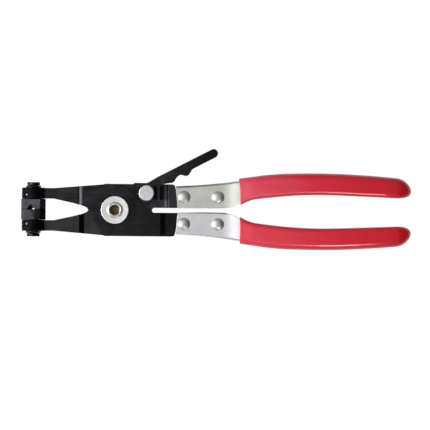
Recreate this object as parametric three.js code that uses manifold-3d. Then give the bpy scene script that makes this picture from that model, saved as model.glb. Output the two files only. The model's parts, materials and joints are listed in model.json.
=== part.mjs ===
// Hose clamp pliers: two crossing stamped halves on one rivet, with swivel jaws, a spring-loaded
// locking lever, and channel handles in dipped grips. Millimetres, +Z up. The tool lies on its back:
// jaws towards -X, grips towards +X, the locking lever towards +Y, the clinched end of the rivet up.
// The origin is on the pivot axis, at the flat back of the pivot rivet.

import * as THREE from 'three'
import { mergeVertices } from 'three/addons/utils/BufferGeometryUtils.js'
import Module from 'manifold-3d'

const wasm = await Module()
wasm.setup()

// The whole tool
const overallLength = 221
const jawReach = 53.1
const handleReach = overallLength - jawReach

// Clearances, and how far a cut runs past what it cuts
const seatGap = 0.3
const overrun = 2

// Stamped plates
const plateThickness = 3
const plateGap = 0.3
const hubRadius = 14.5
const headHalfHeight = 14.8
const hubBumpRise = 0.2
const slotHeight = 2.7
const slotReach = 21
const plateReach = 34.2
const plateCornerRadius = 1.9
const backEdgeRadius = 13.2
const backArcStart = 185
const backArcEnd = 215
const hubArcEnd = 104
const throatReach = 15.2
const armLevelReach = 34.6
const armJoggleReach = 18
const armJoggleLength = 3.3
const frontTailJoggleReach = 24.7
const rearTailJoggleReach = 26.3
const tailJoggleLength = 4
const tongueLead = 7.4

// Bosses at the ends of the arms
const bossRadius = 6.6
const bossHeight = 6.3
const bossProud = 0.15

// Swivel jaws
const jawBlockSide = 11.4
const jawBlockHeight = 5.5
const jawGrooveMouth = 4.6
const jawGrooveFloor = 0.6
const jawGrooveDepth = 2.6
const jawTurn = 12.6
const stemRadius = 2.45
const stemHeadRadius = 3.6
const stemHeadHeight = 1.5
const jawWasherRadius = 4.3
const jawWasherThickness = 1
const pinRadius = 1.1
const pinCrown = 0.3
const pinTurn = 37
const pinLead = 2.3

// Pivot rivet and its washer
const pivotShankRadius = 3.7
const pivotHeadRadius = 7
const pivotHeadThickness = 1.8
const pivotBoreRadius = 2.95
const pivotBoreDepth = 6.6
const pivotLipRadius = 4.6
const pivotLipHeight = 0.7
const pivotWasherRadius = 7.85
const pivotWasherThickness = 1.2
const edgeChamfer = 0.3

// Handles, folded from sheet over the tails
const sheet = 1.4
const handleFrontSlant = 1.1
const handleOuter = 20.65
const handleArch = 9.2
const handleEndGap = 7.2
const foldRadius = 2.2
const edgeRadius = 0.25
const gripHalfDepth = 6.5
const flareLead = 2
const flareLength = 11.4
const nearRivetLead = 4.7
const handleRivetSpacing = 19.2
const handleRivetOffset = 7.65
const handleRivetRadius = 2
const domeRadius = 3.6
const domeHeight = 1.5

// Dipped grips
const coatThickness = 0.85
const mouthLead = 9
const upperMouthSlant = 1.3
const gripRoundLength = 8.2
const gripTipShift = 1.2

// Catch teeth on the front plate's round edge
const openingAngle = 35
const pitchesPerOpening = 4
const toothCount = 6
const toothDepth = 1.2
const firstToothAngle = 39.55

// Locking lever, measured from its rivet
const leverX = 17.84
const leverY = 9.74
const leverReach = 46.6
const leverRise = 27.4
const leverTop = 5.3
const leverDepth = 4.9
const leverSheet = 1.3
const leverStandOff = 2.75
const leverHubRadius = 5.3
const leverRootReach = 9.9
const leverRootTop = 5.7
const leverRootDrop = 4.15
const leverRootCorner = 1.4
const leverWebStart = 8
const noseReach = 7.71
const noseLift = 1.05
const noseShoulder = 0.9
const noseLugDepth = 2
const tabReach = 6.4
const tabLength = 2
const tabHeight = 1.1
const buttonRadius = 4.35
const buttonThickness = 1.3
const leverHeadRadius = 4
const leverHeadThickness = 1
const leverShankRadius = 2
const bushWall = 0.5

// Lever spring
const wireRadius = 0.3
const curlGap = 0.45
const fixedLegLength = 5.4
const movingLegLength = 7.6
const hookRadius = 0.7
const hookDepth = 1.4
const fixedLegAngle = 219
const movingLegAngle = 90
const springSteps = 84
const wireSides = 6
const curlPoints = 24

// Facets of the round faces
const fineSides = 40
const plainSides = 28
const smallSides = 16
const cornerSteps = 4
const joggleSteps = 4
const handleSteps = 26
const roundSteps = 6

// Outlines, as shares of the sizes that they follow

// Throat edge, from the level arm to the apex: shares of the way to the apex, and of the arm's inner height
const throatShares = [
  [1, 1], [0.8, 0.86], [0.65, 0.75], [0.5, 0.65], [0.36, 0.54], [0.22, 0.42], [0.13, 0.33], [0.06, 0.23],
  [0.015, 0.11], [0, 0],
]
// Handle edges: shares of handleReach, handleOuter and handleArch
const handleShares = [
  [0.2, 0.664, 0], [0.267, 0.699, 0], [0.32, 0.735, 0], [0.357, 0.768, 0.01], [0.386, 0.8, 0.07],
  [0.404, 0.822, 0.16], [0.424, 0.844, 0.35], [0.446, 0.869, 0.555], [0.47, 0.896, 0.69],
  [0.5, 0.932, 0.765], [0.56, 0.976, 0.885], [0.628, 0.995, 0.973], [0.696, 1, 1],
  [0.763, 0.99, 0.973], [0.831, 0.963, 0.927], [0.899, 0.927, 0.88], [0.951, 0.888, 0.839],
  [1, 0.85, 0.801],
]
// Slot end of each plate: shares of slotHeight beyond slotReach and across the slot
const toothedSlotShares = [[0.3, -0.5], [0, -0.25], [-0.5, -0.1], [-1.5, 0.37]]
const plainSlotShares = [[0.3, -0.5], [0, -0.22], [0, 0.2], [-0.9, 0.5]]
// Lever arm: shares of leverReach along the arm and of leverDepth across it
const leverTopShares = [[0.056, 1.02], [0.1, 1.01]]
const leverTopStartShare = 0.208
const leverUnderShares = [
  [0.639, 0.08], [0.617, 0.02], [0.583, -0.2], [0.56, -0.31], [0.539, -0.345], [0.511, -0.25], [0.487, 0],
  [0.459, 0.14], [0.419, 0.06], [0.393, -0.07], [0.372, -0.21], [0.348, -0.28], [0.324, -0.25],
  [0.299, -0.14], [0.239, 0.015], [0.098, 0.015],
]
const noseUndercutShare = 0.78
const bottomStartShare = 0.42
const hubBumpShare = 0.25
const shoulderShare = 0.31

const radians = THREE.MathUtils.degToRad

// Heights from the middle plane, which lies between the two plates
const layerLow = plateGap / 2
const layerHigh = layerLow + plateThickness
const jawFace = seatGap / 2
const jawBack = jawFace + jawBlockHeight
const bossInner = jawBack + seatGap
const bossOuter = bossInner + bossHeight
const pinHeight = bossInner + pinLead
const cheekInner = plateThickness / 2 + seatGap
const cheekOuter = cheekInner + sheet
const gripCheekOuter = gripHalfDepth - coatThickness - seatGap
const middleHeight = layerHigh + seatGap + pivotHeadThickness
const frontCheekLow = leverStandOff - layerLow
const frontCheekHigh = frontCheekLow + leverSheet
const rearCheekHigh = -layerHigh - seatGap
const rearCheekLow = rearCheekHigh - leverSheet

// Reaches and radii that follow from the named sizes
const turnedHalfSide = jawBlockSide / 2 * (Math.cos(radians(jawTurn)) + Math.sin(radians(jawTurn)))
const stemReach = jawReach - turnedHalfSide
const stemBoreRadius = stemRadius + seatGap
const toothPitch = openingAngle / pitchesPerOpening
const lastToothAngle = firstToothAngle + toothCount * toothPitch
const handleStart = plateReach + seatGap
const handleEnd = handleReach - handleEndGap
const nearRivetReach = handleStart + nearRivetLead
const farRivetReach = nearRivetReach + handleRivetSpacing
const handleRivetReaches = [nearRivetReach, farRivetReach]
const tongueReach = farRivetReach + tongueLead
const flareStart = farRivetReach + flareLead
const flareEnd = flareStart + flareLength
const mouthReach = farRivetReach + domeRadius + mouthLead
const bushInnerRadius = leverShankRadius + seatGap
const bushOuterRadius = bushInnerRadius + bushWall
const coilRadius = bushOuterRadius + seatGap + wireRadius
const coatOffset = coatThickness + seatGap

// Solids and geometries

function solidOf(geometry) {
  const bare = geometry.clone()
  bare.deleteAttribute('normal')
  bare.deleteAttribute('uv')
  const merged = mergeVertices(bare)
  return new wasm.Manifold(new wasm.Mesh({
    numProp: 3,
    vertProperties: Float32Array.from(merged.attributes.position.array),
    triVerts: Uint32Array.from(merged.index.array),
  }))
}

function geometryOf(solid) {
  const mesh = solid.getMesh()
  const geometry = new THREE.BufferGeometry()
  geometry.setAttribute('position', new THREE.BufferAttribute(mesh.vertProperties, 3))
  geometry.setIndex(new THREE.BufferAttribute(mesh.triVerts, 1))
  geometry.computeVertexNormals()
  return geometry
}

// A flat outline in X and Y, made solid from z = low to z = high
function slab(shape, low, high) {
  const geometry = new THREE.ExtrudeGeometry(shape, {
    depth: high - low,
    bevelEnabled: false,
    curveSegments: roundSteps,
  })
  return geometry.translate(0, 0, low)
}

// A piece turned about Z, from rows of radius and height
function turned(rows, sides) {
  const profile = rows.map(([radius, height]) => new THREE.Vector2(radius, height))
  return new THREE.LatheGeometry(profile, sides).rotateX(Math.PI / 2)
}

function rod(radius, low, high, sides) {
  return turned([[0, low], [radius, low], [radius, high], [0, high]], sides)
}

// A ring about Z with small chamfers on its upper edges
function washer(inner, outer, low, high, sides) {
  return turned([
    [inner, low], [outer, low], [outer, high - edgeChamfer], [outer - edgeChamfer, high],
    [inner, high], [inner, low],
  ], sides)
}

// The same, standing along +Y
function alongY(geometry) {
  return geometry.rotateX(-Math.PI / 2)
}

// Rings of points along +X, joined into one closed skin
function loft(rings) {
  const count = rings[0].length
  const corners = rings.flat()
  const faces = []
  for (let ring = 0; ring + 1 < rings.length; ring++) {
    for (let side = 0; side < count; side++) {
      const here = ring * count + side
      const next = ring * count + (side + 1) % count
      faces.push(here, next, next + count, here, next + count, here + count)
    }
  }
  for (const ring of [0, rings.length - 1]) {
    const middle = new THREE.Vector3()
    rings[ring].forEach(point => middle.add(point))
    corners.push(middle.divideScalar(count))
    for (let side = 0; side < count; side++) {
      const here = ring * count + side
      const next = ring * count + (side + 1) % count
      faces.push(corners.length - 1, ring === 0 ? next : here, ring === 0 ? here : next)
    }
  }
  const geometry = new THREE.BufferGeometry().setFromPoints(corners)
  geometry.setIndex(faces)
  return geometry
}

// A rounded rectangle in Y and Z, at x
function section(x, low, high, halfDepth, lowRadius, highRadius) {
  const points = []
  const corners = [
    [high, -halfDepth, highRadius, -90], [high, halfDepth, highRadius, 0],
    [low, halfDepth, lowRadius, 90], [low, -halfDepth, lowRadius, 180],
  ]
  for (const [y, z, radius, start] of corners) {
    const centreY = y - Math.sign(y - (low + high) / 2) * radius
    const centreZ = z - Math.sign(z) * radius
    for (let step = 0; step <= cornerSteps; step++) {
      const angle = radians(start + 90 * step / cornerSteps)
      points.push(new THREE.Vector3(x, centreY + radius * Math.cos(angle), centreZ + radius * Math.sin(angle)))
    }
  }
  return points
}

// A smooth value between table rows, whose first column is the place
function between(rows, place, column) {
  const last = rows.length - 1
  let row = 0
  while (row < last - 1 && rows[row + 1][0] < place) row++
  const slope = index => {
    const before = rows[Math.max(index - 1, 0)]
    const after = rows[Math.min(index + 1, last)]
    return (after[column] - before[column]) / (after[0] - before[0])
  }
  const span = rows[row + 1][0] - rows[row][0]
  const t = THREE.MathUtils.clamp((place - rows[row][0]) / span, 0, 1)
  const start = rows[row][column]
  const end = rows[row + 1][column]
  const startPull = span * slope(row) * t * (1 - t) ** 2
  const endPull = span * slope(row + 1) * t ** 2 * (1 - t)
  return start + (end - start) * t * t * (3 - 2 * t) + startPull - endPull
}

// Places from low to high in even steps
function places(low, high, steps) {
  return Array.from({ length: steps + 1 }, (_, step) => low + (high - low) * step / steps)
}

function material(color, roughness, metalness) {
  return new THREE.MeshStandardMaterial({ color, roughness, metalness })
}

const blackSteel = () => material(0x26262a, 0.5, 0.4)
const brightSteel = () => material(0xc9c9cb, 0.3, 0.9)
const redVinyl = () => material(0xc8202f, 0.35, 0)

function piece(name, geometry, finish) {
  const mesh = new THREE.Mesh(geometry, finish)
  mesh.name = name
  return mesh
}

// Stamped plates. A plate is drawn as the front one: its arm to the upper left, its tail to the lower right.
// Turned over about X, it is the rear one.

function polar(radius, angle) {
  return [radius * Math.cos(radians(angle)), radius * Math.sin(radians(angle))]
}

const armInner = bossInner + bossProud
const armOuter = bossOuter - bossProud
const tongueInner = slotHeight / 2 + seatGap
const tongueOuter = handleEdges(handleStart).outer - sheet - seatGap

function throatPoint([reachShare, heightShare]) {
  return [-throatReach - (armLevelReach - throatReach) * reachShare, armInner * heightShare]
}

// Saw teeth, steep on the side that holds the jaws shut
function addTeeth(shape) {
  for (let tooth = 0; tooth < toothCount; tooth++) {
    const face = firstToothAngle + tooth * toothPitch
    shape.lineTo(...polar(hubRadius - toothDepth, face))
    shape.lineTo(...polar(hubRadius, face))
  }
  shape.lineTo(...polar(hubRadius - toothDepth, lastToothAngle))
  shape.lineTo(...polar(hubRadius, lastToothAngle))
}

function plateOutline(hasTeeth) {
  const shape = new THREE.Shape()
  shape.moveTo(-stemReach, armOuter)
  shape.lineTo(-stemReach, armInner)
  throatShares.forEach(share => shape.lineTo(...throatPoint(share)))
  shape.absarc(0, 0, backEdgeRadius, radians(backArcStart), radians(backArcEnd), false)
  shape.lineTo(-headHalfHeight * bottomStartShare, -headHalfHeight)
  const cornerX = plateReach - plateCornerRadius
  shape.absarc(cornerX, plateCornerRadius - headHalfHeight, plateCornerRadius, radians(-90), 0, false)
  shape.lineTo(plateReach, -tongueOuter)
  shape.lineTo(tongueReach, -tongueOuter)
  shape.lineTo(tongueReach, -slotHeight / 2 - sheet)
  shape.lineTo(handleStart + overrun, -tongueInner)
  shape.lineTo(plateReach, -slotHeight / 2)
  const slotShares = hasTeeth ? toothedSlotShares : plainSlotShares
  slotShares.forEach(([along, across]) => shape.lineTo(slotReach + slotHeight * along, slotHeight * across))
  const arcStart = hasTeeth ? lastToothAngle : firstToothAngle - toothPitch
  shape.lineTo(...polar(hubRadius, firstToothAngle - toothPitch))
  if (hasTeeth) addTeeth(shape)
  shape.absarc(0, 0, hubRadius, radians(arcStart), radians(hubArcEnd), false)
  shape.lineTo(-headHalfHeight * hubBumpShare, headHalfHeight + hubBumpRise)
  shape.lineTo(-headHalfHeight * shoulderShare, headHalfHeight - hubBumpRise)
  shape.lineTo(-armLevelReach, armOuter)
  shape.closePath()
  return shape
}

// The plate from the side: level arm, raised head, level tail
function plateProfile(tailJoggleReach) {
  const raise = layerLow + plateThickness / 2
  const rows = [[-stemReach, 0]]
  for (const step of places(0, 1, joggleSteps)) {
    const x = -armJoggleReach - armJoggleLength * (1 - step)
    rows.push([x, raise * THREE.MathUtils.smoothstep(step, 0, 1)])
  }
  for (const step of places(0, 1, joggleSteps)) {
    const x = tailJoggleReach + tailJoggleLength * step
    rows.push([x, raise * (1 - THREE.MathUtils.smoothstep(step, 0, 1))])
  }
  rows.push([tongueReach + overrun, 0])
  const upper = rows.map(([x, z]) => new THREE.Vector2(x, z + plateThickness / 2))
  const lower = rows.map(([x, z]) => new THREE.Vector2(x, z - plateThickness / 2))
  return new THREE.Shape([...lower, ...upper.reverse()])
}

function jawPlate(name, isFront) {
  const depth = 2 * (headHalfHeight + overrun)
  const outline = solidOf(slab(plateOutline(isFront), -layerHigh - overrun, layerHigh + overrun))
  const tailJoggleReach = isFront ? frontTailJoggleReach : rearTailJoggleReach
  const profile = solidOf(slab(plateProfile(tailJoggleReach), -depth / 2, depth / 2).rotateX(Math.PI / 2))
  let solid = outline.intersect(profile)
  solid = solid.add(solidOf(alongY(rod(bossRadius, bossInner, bossOuter, fineSides)).translate(-stemReach, 0, 0)))
  const low = -layerHigh - overrun
  const high = layerHigh + overrun
  const cuts = [
    alongY(rod(stemBoreRadius, bossInner - overrun, bossOuter + overrun, plainSides)).translate(-stemReach, 0, 0),
    rod(pinRadius + seatGap, stemRadius, bossRadius + overrun, smallSides)
      .rotateY(radians(pinAngle(isFront)))
      .translate(-stemReach, pinHeight, 0),
    rod(pivotShankRadius + seatGap, low, high, plainSides),
  ]
  for (const reach of handleRivetReaches) {
    cuts.push(rod(handleRivetRadius + seatGap, low, high, smallSides).translate(reach, -handleRivetOffset, 0))
  }
  if (!isFront) {
    const [hookX, hookY] = hookPlace()
    cuts.push(rod(leverShankRadius + seatGap, low, high, smallSides).translate(leverX, -leverY, 0))
    cuts.push(rod(wireRadius + seatGap, low, high, smallSides).translate(leverX + hookX, -leverY - hookY, 0))
  }
  cuts.forEach(cut => { solid = solid.subtract(solidOf(cut)) })
  return piece(name, geometryOf(solid), blackSteel())
}

// Jaws

// In both halves the pin faces up and towards the nose of the tool
function pinAngle(isFront) {
  return isFront ? -pinTurn : pinTurn - 180
}

// The groove across a jaw's face, which widens towards the other jaw
function jawGroove() {
  const slope = (jawGrooveMouth - jawGrooveFloor) / 2 / jawGrooveDepth
  const wide = jawGrooveMouth / 2 + overrun * slope
  const narrow = jawGrooveFloor / 2
  const deep = jawFace + jawGrooveDepth
  return new THREE.Shape([
    new THREE.Vector2(-wide, jawFace - overrun), new THREE.Vector2(wide, jawFace - overrun),
    new THREE.Vector2(narrow, deep), new THREE.Vector2(-narrow, deep),
  ])
}

function swivelJaw(name, turn) {
  const half = jawBlockSide / 2
  let solid = solidOf(new THREE.BoxGeometry(jawBlockSide, jawBlockHeight, jawBlockSide)
    .translate(0, jawFace + jawBlockHeight / 2, 0))
  solid = solid.subtract(solidOf(slab(jawGroove(), -half - overrun, half + overrun)))
  const headStart = bossOuter + 2 * seatGap + jawWasherThickness
  const headEnd = headStart + stemHeadHeight
  const stem = turned([
    [0, jawBack - edgeChamfer], [stemRadius, jawBack - edgeChamfer], [stemRadius, headStart],
    [stemHeadRadius, headStart], [stemHeadRadius, headEnd - edgeChamfer],
    [stemHeadRadius - edgeChamfer, headEnd], [0, headEnd],
  ], plainSides)
  solid = solid.add(solidOf(alongY(stem)))
  const jaw = piece(name, geometryOf(solid), blackSteel())
  jaw.rotation.y = radians(turn)
  return jaw
}

function jawWasher(name) {
  const low = bossOuter + seatGap
  const ring = washer(stemBoreRadius, jawWasherRadius, low, low + jawWasherThickness, plainSides)
  return piece(name, alongY(ring), blackSteel())
}

function retainingPin(name, isFront) {
  const start = stemRadius + seatGap
  const pin = turned([
    [0, start], [pinRadius, start], [pinRadius, bossRadius - pinCrown],
    [pinRadius - pinCrown, bossRadius], [0, bossRadius],
  ], smallSides)
  const mesh = piece(name, pin, blackSteel())
  mesh.position.y = pinHeight
  mesh.rotation.y = radians(pinAngle(isFront))
  return mesh
}

// Pivot

function pivotRivet() {
  const back = -middleHeight
  const headFront = back + pivotHeadThickness
  const lipLow = layerHigh + 2 * seatGap + pivotWasherThickness
  const lipHigh = lipLow + pivotLipHeight
  return piece('pivot_rivet', turned([
    [0, back], [pivotHeadRadius - edgeChamfer, back], [pivotHeadRadius, back + edgeChamfer],
    [pivotHeadRadius, headFront], [pivotShankRadius, headFront], [pivotShankRadius, lipLow],
    [pivotLipRadius, lipLow], [pivotLipRadius, lipHigh - edgeChamfer],
    [pivotLipRadius - edgeChamfer, lipHigh], [pivotBoreRadius + edgeChamfer, lipHigh],
    [pivotBoreRadius, lipHigh - edgeChamfer], [pivotBoreRadius, lipHigh - pivotBoreDepth],
    [0, lipHigh - pivotBoreDepth],
  ], fineSides), brightSteel())
}

function pivotWasher() {
  const low = layerHigh + seatGap
  const bore = pivotShankRadius + seatGap
  const ring = washer(bore, pivotWasherRadius, low, low + pivotWasherThickness, fineSides)
  return piece('pivot_washer', ring, brightSteel())
}

// Handles and grips. They are drawn as the upper ones.

function handleEdges(x) {
  const share = x / handleReach
  return {
    outer: handleOuter * between(handleShares, share, 1),
    inner: slotHeight / 2 + handleArch * between(handleShares, share, 2),
  }
}

// How far the handle has flared from the tail's cheeks to the grip, from 0 to 1
function flare(x) {
  return THREE.MathUtils.smoothstep(x, flareStart, flareEnd)
}

// The handle's outer skin, grown by a margin
function handleSection(x, margin) {
  const { outer, inner } = handleEdges(x)
  const halfDepth = THREE.MathUtils.lerp(cheekOuter, gripCheekOuter, flare(x)) + margin
  const innerRadius = THREE.MathUtils.lerp(edgeRadius, foldRadius, flare(x)) + margin
  return section(x, inner - margin, outer + margin, halfDepth, innerRadius, foldRadius + margin)
}

// Slants a ring: its inner edge moves by the slant, its outer edge stays
function slanted(ring, slant) {
  const heights = ring.map(point => point.y)
  const low = Math.min(...heights)
  const high = Math.max(...heights)
  ring.forEach(point => { point.x += slant * (high - point.y) / (high - low) })
  return ring
}

function handle(name) {
  const stations = places(handleStart, handleEnd, handleSteps)
  const skin = stations.map(x => handleSection(x, 0))
  slanted(skin[0], handleFrontSlant)
  const hollow = [handleStart - overrun, ...stations.slice(1, -1), handleEnd + overrun].map(x => {
    const { outer, inner } = handleEdges(x)
    const halfDepth = THREE.MathUtils.lerp(cheekInner, gripCheekOuter - sheet, flare(x))
    return section(x, inner - overrun, outer - sheet, halfDepth, edgeRadius, foldRadius - sheet)
  })
  let solid = solidOf(loft(skin)).subtract(solidOf(loft(hollow)))
  for (const reach of handleRivetReaches) {
    const hole = rod(handleRivetRadius + seatGap, -gripHalfDepth, gripHalfDepth, smallSides)
    solid = solid.subtract(solidOf(hole.translate(reach, handleRivetOffset, 0)))
  }
  return piece(name, geometryOf(solid), brightSteel())
}

function handleRivet(name, reach) {
  const base = cheekOuter + seatGap
  const rows = [[0, -base - domeHeight]]
  const dome = places(0, 1, cornerSteps).slice(1).map(share => [
    domeRadius * Math.sin(share * Math.PI / 2),
    base + domeHeight * Math.cos(share * Math.PI / 2),
  ])
  dome.forEach(([radius, height]) => rows.push([radius, -height]))
  rows.push([handleRivetRadius, -base], [handleRivetRadius, base])
  dome.reverse().forEach(([radius, height]) => rows.push([radius, height]))
  rows.push([0, base + domeHeight])
  const mesh = piece(name, turned(rows, smallSides), brightSteel())
  mesh.position.set(reach, handleRivetOffset, 0)
  return mesh
}

// The grip's outer skin, which closes in a round end, tighter on the side of the other grip
function gripSection(x) {
  const { outer, inner } = handleEdges(x)
  const roundStart = handleReach - gripRoundLength
  const t = Math.max(x - roundStart, 0) / gripRoundLength
  const size = Math.sqrt(1 - t * t)
  const middle = (outer + inner) / 2 - gripTipShift * t * t
  const half = (outer - inner) / 2 + coatOffset
  const radius = THREE.MathUtils.lerp(foldRadius + coatOffset, Math.min(half, gripHalfDepth), t) * size
  return section(x, middle - half * size, middle + half * size, gripHalfDepth * size, radius, radius)
}

function grip(name, mouthSlant) {
  const roundStart = handleReach - gripRoundLength
  const stations = places(mouthReach, roundStart, handleSteps)
  const tipAngles = places(0, 1, roundSteps + 1).slice(1, -1)
  tipAngles.forEach(share => stations.push(roundStart + gripRoundLength * Math.sin(share * Math.PI / 2)))
  stations.push(handleReach - gripRoundLength * (1 - Math.cos(Math.PI / 4 / (roundSteps + 1))))
  const skin = stations.map(gripSection)
  slanted(skin[0], mouthSlant)
  const pocketEnd = handleEnd + seatGap
  const pocket = [mouthReach - overrun, ...places(mouthReach, pocketEnd, handleSteps)]
    .map(x => handleSection(x, seatGap))
  const solid = solidOf(loft(skin)).subtract(solidOf(loft(pocket)))
  return piece(name, geometryOf(solid), redVinyl())
}

// Locking lever. Its arm is drawn along its own axis, which rises from the rivet.

function armPoint(along, across) {
  const rise = radians(leverRise)
  return new THREE.Vector2(
    along * Math.cos(rise) - across * Math.sin(rise),
    along * Math.sin(rise) + across * Math.cos(rise),
  )
}

// The rounded tip of the arm, from its top to its underside
function tipArc(radius) {
  const centre = leverReach - leverDepth / 2
  return places(90, -90, 2 * roundSteps).map(angle => armPoint(
    centre + radius * Math.cos(radians(angle)),
    leverTop - leverDepth / 2 + radius * Math.sin(radians(angle)),
  ))
}

function leverArmShape() {
  const along = ([reachShare, depthShare]) => armPoint(leverReach * reachShare, leverDepth * depthShare)
  return new THREE.Shape([
    ...leverTopShares.map(along),
    armPoint(leverReach * leverTopStartShare, leverTop),
    ...tipArc(leverDepth / 2),
    ...leverUnderShares.map(along),
  ])
}

function leverCavityShape() {
  const far = leverReach + overrun
  return new THREE.Shape([
    armPoint(-leverReach, leverTop - leverSheet),
    ...tipArc(leverDepth / 2 - leverSheet).slice(0, roundSteps + 1),
    armPoint(leverReach - leverSheet, -leverReach),
    armPoint(-leverReach, -far),
  ])
}

function leverRootShape() {
  const shape = new THREE.Shape()
  const cornerX = leverRootReach - leverRootCorner
  shape.moveTo(0, -leverRootDrop)
  shape.lineTo(cornerX, -leverRootDrop)
  shape.absarc(cornerX, leverRootCorner - leverRootDrop, leverRootCorner, radians(-90), 0, false)
  shape.lineTo(leverRootReach, leverRootTop)
  shape.lineTo(0, leverRootTop)
  shape.closePath()
  return shape
}

function noseShape(start) {
  return new THREE.Shape([
    new THREE.Vector2(start, leverRootTop),
    new THREE.Vector2(noseShoulder - noseReach, leverRootTop),
    new THREE.Vector2(-noseReach, leverRootTop - noseShoulder),
    new THREE.Vector2(-noseReach, noseLift),
    new THREE.Vector2(-noseReach * noseUndercutShare, noseLift + seatGap),
    new THREE.Vector2(start, noseLift + seatGap),
  ])
}

function lockLever() {
  const cheeks = [[frontCheekLow, frontCheekHigh], [rearCheekLow, rearCheekHigh]]
  let solid = solidOf(slab(leverArmShape(), rearCheekLow, frontCheekHigh))
  solid = solid.subtract(solidOf(slab(leverCavityShape(), rearCheekHigh, frontCheekLow)))
  const webStart = armPoint(leverWebStart, leverTop)
  const mouth = new THREE.BoxGeometry(2 * leverReach, 4 * leverReach, frontCheekLow - rearCheekHigh)
    .translate(webStart.x - leverReach, 0, (frontCheekLow + rearCheekHigh) / 2)
  solid = solid.subtract(solidOf(mouth))
  for (const [low, high] of cheeks) {
    solid = solid.add(solidOf(rod(leverHubRadius, low, high, fineSides)))
    solid = solid.add(solidOf(slab(leverRootShape(), low, high)))
  }
  const lugStart = -coilRadius - wireRadius - 2 * seatGap
  solid = solid.add(solidOf(slab(noseShape(leverShankRadius), frontCheekLow, frontCheekHigh)))
  solid = solid.add(solidOf(slab(noseShape(lugStart), frontCheekLow - noseLugDepth, frontCheekHigh)))
  solid = solid.add(solidOf(springTab()))
  const bore = rod(leverShankRadius + seatGap, rearCheekLow - overrun, frontCheekHigh + overrun, smallSides)
  return piece('lock_lever', geometryOf(solid.subtract(solidOf(bore))), blackSteel())
}

// The tab on the front cheek that the spring lifts
function springTab() {
  const low = coilRadius + wireRadius + seatGap
  const depth = leverStandOff / 2
  return new THREE.BoxGeometry(tabLength, tabHeight, depth)
    .translate(tabReach + tabLength / 2, low + tabHeight / 2, frontCheekLow - depth / 2 + edgeChamfer)
}

function leverRivet() {
  const buttonLow = frontCheekHigh + seatGap
  const buttonHigh = buttonLow + buttonThickness
  const headHigh = rearCheekLow - seatGap
  const headLow = headHigh - leverHeadThickness
  return piece('lever_rivet', turned([
    [0, headLow], [leverHeadRadius - edgeChamfer, headLow], [leverHeadRadius, headLow + edgeChamfer],
    [leverHeadRadius, headHigh], [leverShankRadius, headHigh], [leverShankRadius, buttonLow],
    [buttonRadius, buttonLow], [buttonRadius, buttonHigh - edgeChamfer],
    [buttonRadius - edgeChamfer, buttonHigh], [0, buttonHigh],
  ], plainSides), brightSteel())
}

function leverBush() {
  const low = seatGap - layerLow
  const high = frontCheekLow - seatGap
  return piece('lever_bush', turned([
    [bushInnerRadius, low], [bushOuterRadius, low], [bushOuterRadius, high],
    [bushInnerRadius, high], [bushInnerRadius, low],
  ], smallSides), brightSteel())
}

// Lever spring: a hooked leg, one and a third curls and a straight leg

// The direction in which the wire runs clockwise round the coil at an angle
function wireHeading(angle) {
  return [Math.sin(radians(angle)), -Math.cos(radians(angle))]
}

// Where the fixed leg turns down into the rear plate, from the lever's rivet
function hookPlace() {
  const [headingX, headingY] = wireHeading(fixedLegAngle)
  const [startX, startY] = polar(coilRadius, fixedLegAngle)
  const length = fixedLegLength + hookRadius
  return [startX - headingX * length, startY - headingY * length]
}

function springPoints() {
  const low = seatGap + wireRadius - layerLow
  const pitch = 2 * wireRadius + curlGap
  const sweep = fixedLegAngle + 360 - movingLegAngle
  const [hookX, hookY] = hookPlace()
  const [headingX, headingY] = wireHeading(fixedLegAngle)
  const points = [new THREE.Vector3(hookX, hookY, low - hookDepth - hookRadius)]
  for (const turn of places(0, 90, cornerSteps)) {
    const back = hookRadius * (1 - Math.cos(radians(turn)))
    const drop = hookRadius * (1 - Math.sin(radians(turn)))
    points.push(new THREE.Vector3(hookX + headingX * back, hookY + headingY * back, low - drop))
  }
  for (const share of places(0, 1, curlPoints)) {
    const [x, y] = polar(coilRadius, fixedLegAngle - sweep * share)
    points.push(new THREE.Vector3(x, y, low + pitch * share * sweep / 360))
  }
  const last = points[points.length - 1]
  const [endX, endY] = wireHeading(movingLegAngle)
  points.push(new THREE.Vector3(last.x + endX * movingLegLength, last.y + endY * movingLegLength, last.z))
  return points
}

// The least clear distance between one curl and the next, on points along the wire
function leastGap(path) {
  const points = path.getSpacedPoints(4 * springSteps)
  const apart = Math.PI * coilRadius
  let least = Infinity
  points.forEach((point, index) => {
    points.slice(index).forEach((other, offset) => {
      const along = path.getLength() * offset / (4 * springSteps)
      if (along > apart) least = Math.min(least, point.distanceTo(other))
    })
  })
  return least - 2 * wireRadius
}

function leverSpring() {
  const path = new THREE.CatmullRomCurve3(springPoints(), false, 'centripetal')
  console.log(`lever_spring: least gap to itself ${leastGap(path).toFixed(2)} mm`)
  const wire = new THREE.Shape(places(0, 360, wireSides).slice(0, -1)
    .map(angle => new THREE.Vector2(...polar(wireRadius, angle))))
  const geometry = new THREE.ExtrudeGeometry(wire, { steps: springSteps, extrudePath: path })
  return piece('lever_spring', geometry, brightSteel())
}

// Assembly

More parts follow.
